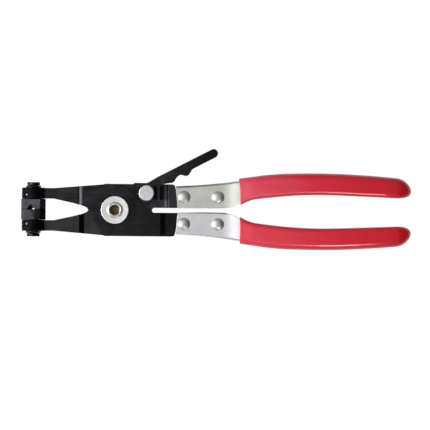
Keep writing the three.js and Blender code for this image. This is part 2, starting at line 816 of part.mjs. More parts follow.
// One side of the tool, drawn as the upper one: its jaw set, handle and grip
function side(isUpper) {
  const word = isUpper ? 'upper' : 'lower'
  const group = new THREE.Group()
  const jawSet = new THREE.Group()
  jawSet.position.x = -stemReach
  jawSet.add(
    swivelJaw(`${word}_swivel_jaw`, isUpper ? -jawTurn : jawTurn + 90),
    jawWasher(`${word}_jaw_washer`),
    retainingPin(`${word}_retaining_pin`, isUpper),
  )
  group.add(
    jawPlate(isUpper ? 'front_jaw_plate' : 'rear_jaw_plate', isUpper),
    jawSet,
    handle(`${word}_handle`),
    grip(`${word}_grip`, isUpper ? upperMouthSlant : 0),
    handleRivet(`${word}_handle_near_rivet`, handleRivetReaches[0]),
    handleRivet(`${word}_handle_far_rivet`, handleRivetReaches[1]),
  )
  if (!isUpper) group.rotation.x = Math.PI
  return group
}

function leverSet() {
  const group = new THREE.Group()
  group.position.set(leverX, leverY, 0)
  group.add(lockLever(), leverRivet(), leverBush(), leverSpring())
  return group
}

const pliers = new THREE.Group()
pliers.position.z = middleHeight
pliers.add(side(true), side(false), pivotRivet(), pivotWasher(), leverSet())

export default pliers
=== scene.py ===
"""Hose clamp pliers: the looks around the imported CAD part. Shapes are worked out in millimetres, in the
part's frame, with the middle plane of the tool at height MIDDLE. Each pair of pieces is drawn for the upper
side of the picture, and turned over for the lower side."""
import json
import math

import bmesh
import bpy
from mathutils import Matrix, Vector

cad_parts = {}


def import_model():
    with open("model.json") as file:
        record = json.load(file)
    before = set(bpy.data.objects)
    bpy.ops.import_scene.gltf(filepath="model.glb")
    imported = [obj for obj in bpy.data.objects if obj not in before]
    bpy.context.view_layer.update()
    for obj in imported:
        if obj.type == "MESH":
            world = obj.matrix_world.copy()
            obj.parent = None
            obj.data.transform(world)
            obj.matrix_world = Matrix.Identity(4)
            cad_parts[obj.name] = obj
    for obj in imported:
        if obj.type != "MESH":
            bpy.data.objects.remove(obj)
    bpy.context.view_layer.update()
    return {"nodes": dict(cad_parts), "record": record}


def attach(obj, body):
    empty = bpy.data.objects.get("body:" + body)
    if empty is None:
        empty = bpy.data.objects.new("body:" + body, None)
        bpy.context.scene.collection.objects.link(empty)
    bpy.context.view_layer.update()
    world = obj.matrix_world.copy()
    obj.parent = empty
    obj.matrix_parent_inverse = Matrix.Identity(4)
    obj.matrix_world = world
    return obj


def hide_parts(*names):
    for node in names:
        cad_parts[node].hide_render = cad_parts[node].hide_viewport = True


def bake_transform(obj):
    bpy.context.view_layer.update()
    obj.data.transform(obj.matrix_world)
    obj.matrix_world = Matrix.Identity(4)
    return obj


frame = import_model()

MM = 0.001
MIDDLE = 5.25

# Sizes of the CAD part, in millimetres
LENGTH_AFTER_PIVOT = 167.9
HANDLE_OUTER = 20.65
HANDLE_ARCH = 9.2
SLOT_HEIGHT = 2.7
SHEET = 1.4
SEAT_GAP = 0.3
CHEEK_OUTER = 3.2
GRIP_CHEEK_OUTER = 5.35
HANDLE_START = 34.5
HANDLE_END = 160.7
HANDLE_SLANT = 1.1
RIVET_REACHES = (39.2, 58.4)
RIVET_OFFSET = 7.65
GRIP_START = 71.0
GRIP_HALF_DEPTH = 6.5
GRIP_ROUND = 8.2
GRIP_TIP_SHIFT = 1.2
GRIP_STANDOFF = 1.15
JAW_REACH = 46.294
JAW_SIDE = 11.4
BOSS_INNER = 5.95
BOSS_OUTER = 12.25
BOSS_RADIUS = 6.6
PIN_HEIGHT = 8.25
HUB_RADIUS = 14.5
HEAD_HALF = 14.8
PLATE_END = 34.2
PLATE_THICKNESS = 3
PLATE_GAP = 0.3
LEVER = (17.84, 9.74)

# Sizes that leave the CAD's by a little: the cheeks' flare goes on inside the grips, and the jaws' faces meet
FLARE = (60.4, 75.0)
JAW_FACE = 0.0
JAW_BACK = 5.9

# The handles' edges, as rows of share of LENGTH_AFTER_PIVOT, share of HANDLE_OUTER, share of HANDLE_ARCH
HANDLE_ROWS = (
    (0.2, 0.664, 0), (0.267, 0.699, 0), (0.32, 0.735, 0), (0.357, 0.768, 0.01), (0.386, 0.8, 0.07),
    (0.404, 0.822, 0.16), (0.424, 0.844, 0.35), (0.446, 0.869, 0.555), (0.47, 0.896, 0.69),
    (0.5, 0.932, 0.765), (0.56, 0.976, 0.885), (0.628, 0.995, 0.973), (0.696, 1, 1),
    (0.763, 0.99, 0.973), (0.831, 0.963, 0.927), (0.899, 0.927, 0.88), (0.951, 0.888, 0.839),
    (1, 0.85, 0.801),
)
# The throat, as rows of share of the way from its apex to the level arm, share of ARM_INNER
THROAT_ROWS = (
    (1, 1), (0.8, 0.86), (0.65, 0.75), (0.5, 0.65), (0.36, 0.54), (0.22, 0.42), (0.13, 0.33), (0.06, 0.23),
    (0.015, 0.11), (0, 0),
)

bodies = frame["record"]["behaviour"]["bodies"]
body_of_node = {node: body for body, members in bodies.items() for node in members}


# colours and shader nodes

def linear(red, green, blue):
    """A colour as it looks on a screen, 0 to 255, as the values a shader takes."""
    channels = [value / 255 for value in (red, green, blue)]
    return tuple(c / 12.92 if c <= 0.04045 else ((c + 0.055) / 1.055) ** 2.4 for c in channels) + (1.0,)


SCRATCH_GREY = linear(120, 120, 126)
EDGE_GREY = linear(96, 96, 102)
ZINC_SCRATCH = linear(116, 116, 116)
VINYL_SPECK = linear(232, 96, 110)
VINYL_SCRATCH = linear(226, 90, 104)
DARK_EDGE_TINT = (0.3, 0.3, 0.3, 1)

# Places along X where a colour or finish turns into another, in metres from the pivot, and their drift
VINYL_PAINTED_SHEEN = (0.068, 0.108)
VINYL_DEEP = (0.112, 0.164)
VINYL_DULL = (0.122, 0.088)
PAINTED_NOSE_HIGHLIGHT = (-0.0450, -0.0482)
DRIFT = 0.006


class Shading:
    """The node tree of a material or of the world, with short calls for its nodes."""

    def __init__(self, name, library=bpy.data.materials, output="ShaderNodeOutputMaterial"):
        self.owner = library.new(name)
        self.owner.use_nodes = True
        self.tree = self.owner.node_tree
        self.tree.nodes.clear()
        self.output = self.add(output)
        self.place = self.add("ShaderNodeTexCoord").outputs["Object"]

    def add(self, kind, inputs=None, **settings):
        node = self.tree.nodes.new(kind)
        for key, value in settings.items():
            setattr(node, key, value)
        for key, value in (inputs or {}).items():
            self.set(node, key, value)
        return node

    def set(self, node, key, value):
        if isinstance(value, bpy.types.NodeSocket):
            self.tree.links.new(value, node.inputs[key])
        else:
            node.inputs[key].default_value = value

    def stretched(self, scale, turn=0.0):
        """The place, drawn out along a direction in the plan of the tool."""
        spans = [1 / part for part in scale]
        inputs = {"Vector": self.place, "Rotation": (0, 0, math.radians(turn)), "Scale": spans}
        return self.add("ShaderNodeMapping", inputs, vector_type="TEXTURE").outputs["Vector"]

    def noise(self, scale, detail=4.0, roughness=0.55, place=None):
        inputs = {"Vector": place or self.place, "Scale": scale, "Detail": detail, "Roughness": roughness}
        return self.add("ShaderNodeTexNoise", inputs).outputs["Fac"]

    def band(self, value, low, high, start=0.0, end=1.0):
        inputs = {"Value": value, "From Min": low, "From Max": high, "To Min": start, "To Max": end}
        return self.add("ShaderNodeMapRange", inputs, clamp=True).outputs["Result"]

    def math(self, operation, first, second=0.0):
        node = self.add("ShaderNodeMath", {0: first, 1: second}, operation=operation)
        return node.outputs["Value"]

    def mix(self, share, first, second):
        """Two colours mixed, through the colour sockets of the mix node."""
        node = self.add("ShaderNodeMix", {0: share, 6: first, 7: second}, data_type="RGBA")
        return node.outputs[2]

    def coordinate(self, axis):
        return self.add("ShaderNodeSeparateXYZ", {"Vector": self.place}).outputs[axis]

    def scratches(self, turns, length=170, width=3600):
        """Sparse fine scratches in a few directions, which come and go."""
        marks = 0.0
        for turn in turns:
            line = self.band(self.noise(1.0, 1.5, 0.5, self.stretched((length, width, 60), turn)), 0.70, 0.75)
            marks = self.math("MAXIMUM", line, marks)
        patches = self.band(self.noise(75.0, 2.0, 0.5), 0.47, 0.6)
        return self.math("MULTIPLY", marks, patches)

    def edges(self, radius, low, high):
        """1 along worn edges and 0 on open faces."""
        soft = self.add("ShaderNodeBevel", {"Radius": radius}, samples=4).outputs["Normal"]
        true = self.add("ShaderNodeNewGeometry").outputs["Normal"]
        dot = self.add("ShaderNodeVectorMath", {0: soft, 1: true}, operation="DOT_PRODUCT").outputs["Value"]
        return self.band(dot, high, low)

    def bump(self, height, strength, distance, normal=None):
        inputs = {"Height": height, "Strength": strength, "Distance": distance}
        if normal is not None:
            inputs["Normal"] = normal
        return self.add("ShaderNodeBump", inputs).outputs["Normal"]

    def along(self, first, second, low, high):
        """One colour turning into another along the tool, in metres from the pivot."""
        drift = self.band(self.noise(45.0, 4.0, 0.6), 0.3, 0.7, -DRIFT, DRIFT)
        place = self.math("ADD", self.coordinate("X"), drift)
        return self.mix(self.band(place, low, high), first, second)

    def phosphate(self, dark, light, roughness, grain):
        """Colour, roughness and relief of phosphated steel."""
        streak = self.noise(1.0, 6.0, 0.62, self.stretched(grain))
        mottle = self.noise(120.0, 6.0, 0.65)
        speck = self.band(self.noise(2600.0, 2.0, 0.5), 0.70, 0.76)
        patches = self.band(self.noise(420.0, 4.0, 0.7), 0.42, 0.62)
        worn = self.math("MULTIPLY", self.edges(0.0003, 0.80, 0.97), patches)
        body = self.mix(self.band(streak, 0.32, 0.72, 0.1, 0.6), dark, light)
        body = self.mix(self.band(mottle, 0.5, 0.8, 0.0, 0.9), body, light)
        body = self.mix(self.band(mottle, 0.48, 0.3, 0.0, 0.8), body, dark)
        body = self.mix(self.math("MULTIPLY", self.scratches((12, -31, 68)), 0.10), body, SCRATCH_GREY)
        body = self.mix(self.math("MULTIPLY", speck, 0.08), body, SCRATCH_GREY)
        body = self.mix(self.math("MULTIPLY", worn, 0.22), body, EDGE_GREY)
        uneven = self.math("ADD", streak, self.math("MULTIPLY", mottle, 0.6))
        rough = self.band(uneven, 0.5, 1.1, roughness - 0.07, roughness + 0.09)
        relief = self.bump(streak, 0.14, 0.00006)
        return body, rough, self.bump(self.noise(5200.0, 3.0, 0.6), 0.10, 0.00003, relief)

    def seen(self):
        """1 for the camera and for reflections, and 0 for all other light."""
        path = self.add("ShaderNodeLightPath").outputs
        mirrored = self.math("MAXIMUM", path["Is Glossy Ray"], path["Is Transmission Ray"])
        return self.math("MAXIMUM", path["Is Camera Ray"], mirrored)

    def mixed(self, share, first, second):
        """Two shaders mixed."""
        return self.add("ShaderNodeMixShader", {0: share, 1: first.outputs[0], 2: second.outputs[0]})

    def shown(self, shader):
        """Puts a shader on the surface and gives the tree's owner."""
        self.tree.links.new(shader.outputs[0], self.output.inputs["Surface"])
        return self.owner

    def finish(self, **inputs):
        named = {key.replace("_", " "): value for key, value in inputs.items()}
        return self.shown(self.add("ShaderNodeBsdfPrincipled", named))


def black_steel(
    name, dark, light, roughness, gloss, grain=(60, 1500, 1500), right=None, reach=(-0.018, 0.03)
):
    """Black phosphate on rolled steel: lengthwise grain, mottling, specks, fine scratches and paler edges.
    Its paler colour may turn into another one to the right, over a reach along the tool: painted light,
    strongest towards the jaws' end."""
    s = Shading(name)
    light = s.along(light, right, *reach) if right else light
    body, rough, relief = s.phosphate(dark, light, roughness, grain)
    return s.finish(Base_Color=body, Roughness=rough, Normal=relief, Specular_IOR_Level=gloss, Metallic=0.0)


def jaw_steel(name, dark, worn, roughness):
    """Black jaw steel, painted paler on the upper jaw and on the nose half of the lower one: a painted
    highlight where their faces catch the light.
    """
    s = Shading(name)
    body, rough, relief = s.phosphate(dark, s.mix(0.12, dark, worn), roughness, (700, 700, 700))
    # The worn colour is the painted highlight's colour
    blur = s.band(s.noise(260.0, 4.0, 0.6), 0.3, 0.7, -0.0011, 0.0011)
    nose = s.band(s.math("ADD", s.coordinate("X"), blur), *PAINTED_NOSE_HIGHLIGHT)
    upper = s.band(s.math("ADD", s.coordinate("Y"), blur), 0.0, 0.0006)
    cloud = s.band(s.noise(330.0, 4.0, 0.6), 0.3, 0.65, 0.55, 1.0)
    painted_highlight = s.math("MULTIPLY", s.math("MAXIMUM", nose, upper), cloud)
    return s.finish(
        Base_Color=s.mix(painted_highlight, body, worn), Roughness=rough, Normal=relief, Metallic=1.0,
        Specular_Tint=DARK_EDGE_TINT,
    )


def plated_steel(name, colour, dark, roughness):
    """Zinc plating on sheet: soft clouds, fine lengthwise brushing, small dents and a few scratches."""
    s = Shading(name)
    cloud = s.noise(95.0, 5.0, 0.6)
    brush = s.noise(1.0, 5.0, 0.6, s.stretched((40, 2400, 2400)))
    body = s.mix(s.band(cloud, 0.35, 0.7), colour, dark)
    body = s.mix(s.band(brush, 0.45, 0.75, 0.0, 0.3), body, dark)
    body = s.mix(s.math("MULTIPLY", s.scratches((-14, 38, 81)), 0.35), body, ZINC_SCRATCH)
    uneven = s.math("ADD", cloud, s.math("MULTIPLY", brush, 0.6))
    rough = s.band(uneven, 0.5, 1.1, roughness - 0.05, roughness + 0.09)
    relief = s.bump(brush, 0.05, 0.00004)
    relief = s.bump(s.noise(160.0, 3.0, 0.5), 0.08, 0.00012, relief)
    return s.finish(Base_Color=body, Roughness=rough, Normal=relief, Metallic=1.0)


def turned_steel(name, colour, dark, roughness, centre, axis="Z", rings=2600.0):
    """Bright turned steel with fine rings about an axis of the part."""
    s = Shading(name)
    offset = s.add("ShaderNodeVectorMath", {0: s.place, 1: [c * MM for c in centre]}, operation="SUBTRACT")
    keep = (1, 1, 0) if axis == "Z" else (1, 0, 1)
    flat = s.add("ShaderNodeVectorMath", {0: offset.outputs["Vector"], 1: keep}, operation="MULTIPLY")
    radius = s.add("ShaderNodeVectorMath", {0: flat.outputs["Vector"]}, operation="LENGTH").outputs["Value"]
    line = s.add("ShaderNodeCombineXYZ", {"X": radius}).outputs["Vector"]
    ring = s.noise(rings, 3.0, 0.7, line)
    cloud = s.noise(420.0, 5.0, 0.6)
    body = s.mix(s.band(ring, 0.35, 0.65, 0.0, 0.55), colour, dark)
    body = s.mix(s.band(cloud, 0.5, 0.75, 0.0, 0.5), body, dark)
    rough = s.band(cloud, 0.3, 0.7, roughness - 0.06, roughness + 0.08)
    relief = s.bump(ring, 0.16, 0.00005)
    return s.finish(Base_Color=body, Roughness=rough, Normal=relief, Metallic=1.0)


def red_vinyl(name, thin, colour, deep):
    """Dipped vinyl: duller where the coat is thin by its mouth and paler there as a painted reflection,
    deeper at the tip, with faint flow marks, a soft orange-peel surface and a few dull scuffs."""
    s = Shading(name)
    flow = s.noise(1.0, 4.0, 0.5, s.stretched((26, 160, 160)))
    speck = s.band(s.noise(1900.0, 2.0, 0.5), 0.66, 0.74)
    scuff = s.band(s.noise(1.0, 3.0, 0.6, s.stretched((90, 700, 700), 15)), 0.64, 0.72)
    drift = s.math("ADD", s.coordinate("X"), s.band(flow, 0.3, 0.7, -DRIFT, DRIFT))
    # The thin colour by the mouth is a painted reflection of the light
    body = s.mix(s.band(drift, *VINYL_PAINTED_SHEEN), thin, colour)
    body = s.mix(s.band(drift, *VINYL_DEEP), body, deep)
    body = s.mix(s.math("MULTIPLY", speck, 0.06), body, VINYL_SPECK)
    body = s.mix(s.math("MULTIPLY", s.scratches((8, -22)), 0.08), body, VINYL_SCRATCH)
    # The dull mouth ends in a scatter, because a smooth edge shows as a line across the grip
    peel = s.noise(2400.0, 2.0, 0.5)
    scattered = s.math("ADD", drift, s.band(peel, 0.3, 0.7, -0.014, 0.014))
    rough = s.math("ADD", s.band(flow, 0.3, 0.7, 0.09, 0.13), s.math("MULTIPLY", scuff, 0.08))
    rough = s.math("ADD", rough, s.band(scattered, *VINYL_DULL, 0.0, 0.3))
    relief = s.bump(s.noise(240.0, 3.0, 0.5), 0.04, 0.0002)
    relief = s.bump(peel, 0.02, 0.00004, relief)
    return s.finish(
        Base_Color=body, Roughness=rough, Normal=relief, Specular_IOR_Level=0.5,
        Subsurface_Weight=0.03, Subsurface_Scale=0.001,
    )


# meshes

def object_from(name, points, faces, matrix=None):
    mesh = bpy.data.meshes.new(name)
    matrix = matrix or Matrix.Identity(4)
    mesh.from_pydata([(matrix @ Vector(p)) * MM for p in points], [], faces)
    mesh.validate()
    obj = bpy.data.objects.new(name, mesh)
    bpy.context.scene.collection.objects.link(obj)
    outward(obj)
    return obj


def outward(obj):
    work = bmesh.new()
    work.from_mesh(obj.data)
    bmesh.ops.recalc_face_normals(work, faces=work.faces)
    work.to_mesh(obj.data)
    work.free()


def applied(obj):
    """Turns the modifiers of an object into its mesh."""
    bpy.context.view_layer.update()
    graph = bpy.context.evaluated_depsgraph_get()
    mesh = bpy.data.meshes.new_from_object(obj.evaluated_get(graph))
    obj.modifiers.clear()
    old, obj.data = obj.data, mesh
    bpy.data.meshes.remove(old)
    return obj


def bevelled(obj, width, segments=3, angle=30):
    bevel = obj.modifiers.new("bevel", "BEVEL")
    bevel.width = width * MM
    bevel.segments = segments
    bevel.limit_method = "ANGLE"
    bevel.angle_limit = math.radians(angle)
    bevel.miter_outer = "MITER_ARC"
    return applied(obj)


def combined(obj, other, operation):
    boolean = obj.modifiers.new("boolean", "BOOLEAN")
    boolean.operation = operation
    boolean.solver = "EXACT"
    boolean.object = other
    applied(obj)
    bpy.data.objects.remove(other)
    return obj


def joined(obj, *others):
    """One object out of several closed meshes."""
    work = bmesh.new()
    for part in (obj, *others):
        work.from_mesh(part.data)
    work.to_mesh(obj.data)
    work.free()
    for part in others:
        bpy.data.objects.remove(part)
    return obj


def smooth(obj, angle=32):
    obj.data.shade_smooth()
    obj.data.set_sharp_from_angle(angle=math.radians(angle))
    normals = obj.modifiers.new("normals", "WEIGHTED_NORMAL")
    normals.keep_sharp = True
    return applied(obj)


def rounded(rows, radius, steps=3):
    """An open outline with its inner corners rounded."""
    done = [rows[0]]
    for before, here, after in zip(rows, rows[1:], rows[2:]):
        here_v, first, second = Vector(here), Vector(before) - Vector(here), Vector(after) - Vector(here)
        cut = min(radius, 0.45 * first.length, 0.45 * second.length)
        start, end = here_v + first.normalized() * cut, here_v + second.normalized() * cut
        for step in range(steps + 1):
            t = step / steps
            done.append(tuple(start * (1 - t) ** 2 + here_v * 2 * t * (1 - t) + end * t * t))
    return done + [rows[-1]]


def circle(radius, sides):
    """Points round the origin, from the X axis on."""
    angles = [2 * math.pi * side / sides for side in range(sides)]
    return [(radius * math.cos(a), radius * math.sin(a)) for a in angles]


def lathe(name, rows, matrix, radius=0.2, sides=72, ring=False):
    """A piece turned about Z from rows of radius and height. A ring's rows close on themselves."""
    if ring:
        middle = tuple((Vector(rows[0]) + Vector(rows[1])) / 2)
        rows = [middle, *rows[1:], rows[0], middle]
    rows = rounded(rows, radius)
    if ring:
        rows = rows[:-1]
    points, faces, rings = [], [], []
    for r, h in rows:
        count = 1 if r < 1e-6 else sides
        rings.append(list(range(len(points), len(points) + count)))
        points += [(0, 0, h)] if count == 1 else [(x, y, h) for x, y in circle(r, sides)]
    pairs = list(zip(rings, rings[1:])) + ([(rings[-1], rings[0])] if ring else [])
    for low, high in pairs:
        for side in range(sides):
            after = (side + 1) % sides
            corners = [low[side % len(low)], low[after % len(low)]]
            corners += [high[after % len(high)], high[side % len(high)]]
            corners = list(dict.fromkeys(corners))
            if len(corners) > 2:
                faces.append(corners)
    return object_from(name, points, faces, matrix)


def loft(name, rings, matrix):
    """Closed rings of points, joined into one skin with its ends closed."""
    count = len(rings[0])
    points = [point for ring in rings for point in ring]
    faces = []
    for index in range(len(rings) - 1):
        for side in range(count):
            here, after = index * count + side, index * count + (side + 1) % count
            faces.append((here, after, after + count, here + count))
    faces.append(tuple(range(count)))
    faces.append(tuple(range((len(rings) - 1) * count, len(rings) * count)))
    return object_from(name, points, faces, matrix)


def prism(name, outline, low, high, matrix=None):
    """An outline in X and Y, drawn up from a low to a high level."""
    count = len(outline)
    points = [(x, y, low) for x, y in outline] + [(x, y, high) for x, y in outline]
    faces = [tuple(range(count)), tuple(range(count, 2 * count))]
    faces += [(i, (i + 1) % count, count + (i + 1) % count, count + i) for i in range(count)]
    return object_from(name, points, faces, matrix)


def cylinder(name, radius, low, high, matrix=None, sides=64):
    return prism(name, circle(radius, sides), low, high, matrix)


def scaled(obj, place):
    """Moves a mesh by a matrix whose lengths are millimetres."""
    obj.data.transform(Matrix.Scale(MM, 4) @ place @ Matrix.Scale(1 / MM, 4))


def softened(node, width, segments=2, angle=28):
    """A copy of a CAD node with its flat faces made whole and its edges rounded."""
    source = frame["nodes"][node]
    obj = bpy.data.objects.new("soft_" + node, source.data.copy())
    bpy.context.scene.collection.objects.link(obj)
    work = bmesh.new()
    work.from_mesh(obj.data)
    bmesh.ops.remove_doubles(work, verts=work.verts, dist=2e-6)
    bmesh.ops.dissolve_limit(work, angle_limit=math.radians(1), verts=work.verts, edges=work.edges)
    work.to_mesh(obj.data)
    work.free()
    obj.data.materials.clear()
    return bevelled(obj, width, segments, angle)


def dress(obj, name, node, material, angle=32):
    """Gives a finished mesh its name, material and body, in place of a CAD node. The lever's spring gets no
    body here, as it spans two."""
    smooth(obj, angle)
    obj.name = name
    obj.data.name = name
    obj.data.materials.clear()
    obj.data.materials.append(material)
    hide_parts(node)
    if node != "lever_spring":
        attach(obj, body_of_node[node])
    return obj


def side_word(is_upper):
    return "upper" if is_upper else "lower"


def side_matrix(is_upper):
    """Lifts what is drawn on the upper side to its height, turned over where it belongs to the lower side."""
    lift = Matrix.Translation((0, 0, MIDDLE))
    return lift if is_upper else lift @ Matrix.Rotation(math.pi, 4, "X")


def between(rows, place, column):
    """A smooth value between rows, as the CAD part works it out."""
    last = len(rows) - 1
    row = 0
    while row < last - 1 and rows[row + 1][0] < place:
        row += 1

    def slope(index):
        before, after = rows[max(index - 1, 0)], rows[min(index + 1, last)]
        return (after[column] - before[column]) / (after[0] - before[0])

    span = rows[row + 1][0] - rows[row][0]
    t = min(max((place - rows[row][0]) / span, 0), 1)
    start, end = rows[row][column], rows[row + 1][column]
    pull = span * slope(row) * t * (1 - t) ** 2 - span * slope(row + 1) * t ** 2 * (1 - t)
    return start + (end - start) * t * t * (3 - 2 * t) + pull


def smoothstep(value, low, high):
    t = min(max((value - low) / (high - low), 0), 1)
    return t * t * (3 - 2 * t)


def polar(radius, angle):
    return (radius * math.cos(math.radians(angle)), radius * math.sin(math.radians(angle)))


def arc(centre, radius, start, end, steps):
    angles = [start + (end - start) * i / steps for i in range(steps + 1)]
    return [(centre[0] + polar(radius, a)[0], centre[1] + polar(radius, a)[1]) for a in angles]


def spaced(low, high, steps):
    return [low + (high - low) * i / steps for i in range(steps + 1)]


# plates, drawn with their jaw arm on the upper side and their tail on the lower side

ARM_INNER = 6.1
ARM_OUTER = 12.1
THROAT_APEX = 15.2
ARM_LEVEL = 34.6
CHIN_RADIUS = 13.2
CHIN_ANGLES = (185, 215)
HEAD_START = -6.2
HEAD_CORNER = 1.9
TAIL_REACH = 65.8
TAIL_TIP_INNER = 2.75
TONGUE_INNER = 1.65
SLOT_END = 21
SLOT_ROUND = 0.8
HUB_END = 104
FIRST_TOOTH = 39.55
TOOTH_PITCH = 8.75
TOOTH_DEPTH = 1.2
TEETH = 6
LAST_TOOTH = FIRST_TOOTH + TEETH * TOOTH_PITCH
PIVOT_HOLE = 4.0
LEVER_HOLE = 2.3
STEM_HOLE = 2.75
PIN_HOLE = 1.4
PIN_HOLE_SPAN = (2.5, 8)
PIN_ANGLE = 37
THROUGH = 9
BORE_EXTRA = 2
PLATE_EDGE = 0.28
BOSS_EDGE = 0.55

# The tails' inner edges and the slots' ends, in order from the tail's tip to the hub, and the head's shoulder
FRONT_TAIL = ((63.9, -1.5), (61.5, -1.0), (50, -0.92), (HANDLE_START + 3, -1.25))
REAR_TAIL = ((HANDLE_START + 2, -TONGUE_INNER),)
FRONT_SLOT = ((SLOT_END, -0.68), (SLOT_END - 1.35, -0.27), (SLOT_END - 4, 1))
REAR_SLOT = ((SLOT_END, -0.6), (SLOT_END, 0.5), (SLOT_END - 2.5, 1.35))
SHOULDER = ((-3.7, HEAD_HALF + 0.2), (-4.6, HEAD_HALF - 0.2))

# Each plate's bends along X: the arm's low and full end, then the tail's
FRONT_BENDS = ((-22.0, -17.9), (29.2, 25.4))
REAR_BENDS = ((-20.9, -17.2), (31.2, 27.5))
BEND_STEPS = 20

# A bend's profile, as rows of share of its length, steepness
BEND_ROWS = ((0, 0), (0.2, 0.05), (0.25, 1.35), (0.45, 1.35), (0.5, 0.52), (0.78, 0.47), (1, 0))

# Shares of an arm's bend with a foot of painted shade and with a slope of painted highlight, and the face
# normals that count as an edge, as a slope and as leaning one way. A face is the boss's up to BOSS_MARGIN
# past its radius, where it stands ARM_MARGIN clear of the arm
FOOT_SHARE = 0.48
PAINTED_HIGHLIGHT_SHARE = 0.76
EDGE_LEVEL = 0.6
SLOPE_LEVEL = 0.76
LEAN = 0.1
BOSS_MARGIN = 0.3
ARM_MARGIN = 0.2


def handle_edges(x):
    """How far out the handle's outer and inner edges lie at x."""
    share = x / LENGTH_AFTER_PIVOT
    outer = HANDLE_OUTER * between(HANDLE_ROWS, share, 1)
    inner = SLOT_HEIGHT / 2 + HANDLE_ARCH * between(HANDLE_ROWS, share, 2)
    return outer, inner


def plate_outline(is_front):
    """A plate's outline, from its jaw arm down the throat, round the head and tail, and back over the hub."""
    outer_tongue = handle_edges(HANDLE_START)[0] - SHEET - SEAT_GAP
    level = ARM_LEVEL - THROAT_APEX
    corner = (PLATE_END - HEAD_CORNER, HEAD_CORNER - HEAD_HALF)
    tail, slot = (FRONT_TAIL, FRONT_SLOT) if is_front else (REAR_TAIL, REAR_SLOT)
    points = [(-JAW_REACH, ARM_OUTER), (-JAW_REACH, ARM_INNER)]
    points += [(-THROAT_APEX - level * share, ARM_INNER * high) for share, high in THROAT_ROWS]
    points += arc((0, 0), CHIN_RADIUS, *CHIN_ANGLES, 8)
    points += [(HEAD_START, -HEAD_HALF)]
    points += arc(corner, HEAD_CORNER, -90, 0, 8)
    points += [(PLATE_END, -outer_tongue), (TAIL_REACH, -outer_tongue), (TAIL_REACH, -TAIL_TIP_INNER), *tail]
    points += [(PLATE_END, -SLOT_HEIGHT / 2), (SLOT_END + SLOT_ROUND, -SLOT_HEIGHT / 2), *slot]
    points += [polar(HUB_RADIUS, FIRST_TOOTH - TOOTH_PITCH)]
    if is_front:
        for tooth in range(TEETH + 1):
            face = FIRST_TOOTH + tooth * TOOTH_PITCH
            points += [polar(HUB_RADIUS - TOOTH_DEPTH, face), polar(HUB_RADIUS, face)]
    start, steps = (LAST_TOOTH, 12) if is_front else (FIRST_TOOTH - TOOTH_PITCH, 48)
    points += arc((0, 0), HUB_RADIUS, start, HUB_END, steps)[1:]
    return points + [*SHOULDER, (-ARM_LEVEL, ARM_OUTER)]


def ramp(t):
    """0 to 1 over a bend: a soft foot, a steep flank, an easier shoulder and a run-out."""
    total, height = 0.0, 0.0
    for (low, slope), (high, after) in zip(BEND_ROWS, BEND_ROWS[1:]):
        total += (high - low) * (slope + after) / 2
        if t > low:
            reach = min(t, high)
            here = slope + (after - slope) * (reach - low) / (high - low)
            height += (reach - low) * (slope + here) / 2
    return height / total


def joggle(obj, bends, height):
    """Raises a flat plate between two bends. bends has each bend's low start and full end along X."""
    work = bmesh.new()
    work.from_mesh(obj.data)
    for low, high in bends:
        for x in spaced(min(low, high), max(low, high), BEND_STEPS):
            everything = work.verts[:] + work.edges[:] + work.faces[:]
            place = (x * MM, 0, 0)
            bmesh.ops.bisect_plane(work, geom=everything, dist=1e-7, plane_co=place, plane_no=(1, 0, 0))
    for vertex in work.verts:
        x = vertex.co.x / MM
        shares = [ramp((x - low) / (high - low)) for low, high in bends]
        vertex.co.z += height * min(shares) * MM
    bmesh.ops.dissolve_limit(work, angle_limit=math.radians(0.05), verts=work.verts, edges=work.edges)
    work.to_mesh(obj.data)
    work.free()
    return obj


def jaw_stand(base):
    """The place of a jaw's axis over a base, with Z along the stem."""
    return base @ Matrix.Translation((-JAW_REACH, 0, 0)) @ Matrix.Rotation(-math.pi / 2, 4, "X")


def pin_stand(base, is_front):
    """The place of a boss's retaining pin over a base, with Z along the pin."""
    turn = math.radians(-PIN_ANGLE if is_front else PIN_ANGLE - 180)
    return base @ Matrix.Translation((-JAW_REACH, PIN_HEIGHT, 0)) @ Matrix.Rotation(turn, 4, "Y")


